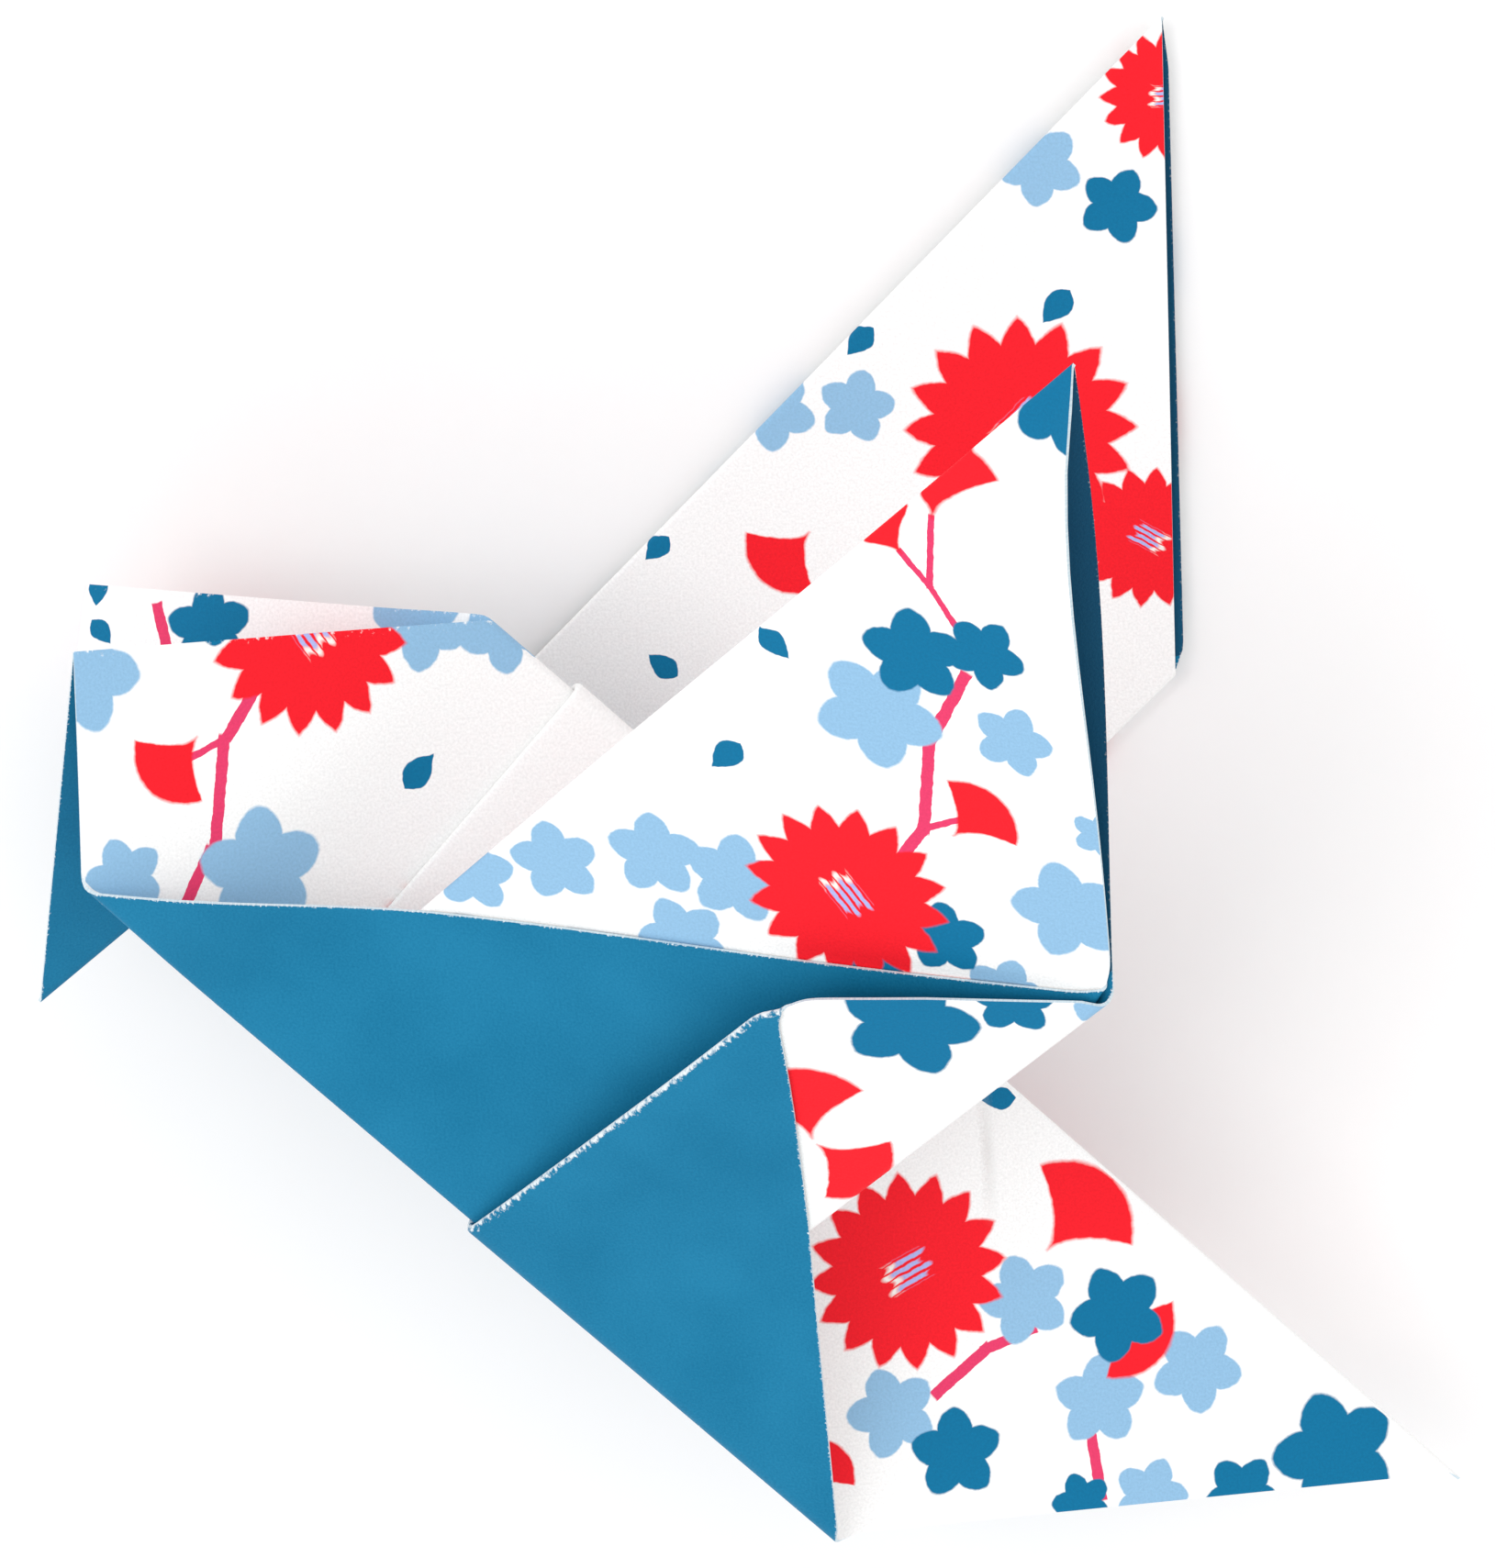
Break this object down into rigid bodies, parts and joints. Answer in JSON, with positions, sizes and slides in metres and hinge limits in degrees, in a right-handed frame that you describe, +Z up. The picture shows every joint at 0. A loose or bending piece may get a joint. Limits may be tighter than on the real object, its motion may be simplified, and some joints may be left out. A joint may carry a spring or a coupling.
{
  "type": "origami bird",
  "caption": "Folded paper bird with raised wings, a tucked beak and a pointed tail, made from one square of printed paper; it lies on one wing.",
  "frame": {"origin": "centre of the bounding box at the bottom, on the surface under the far wing", "axes": "+X along the bird's back towards the tail, +Y towards the far wing's tip, +Z up from the surface it lies on"},
  "size_m": [0.1038, 0.0912, 0.0548],
  "materials": {
    "printed_paper": "matte"
  },
  "bodies": {
    "root": {"folded_sheet": "printed_paper"}
  },
  "joints": []
}
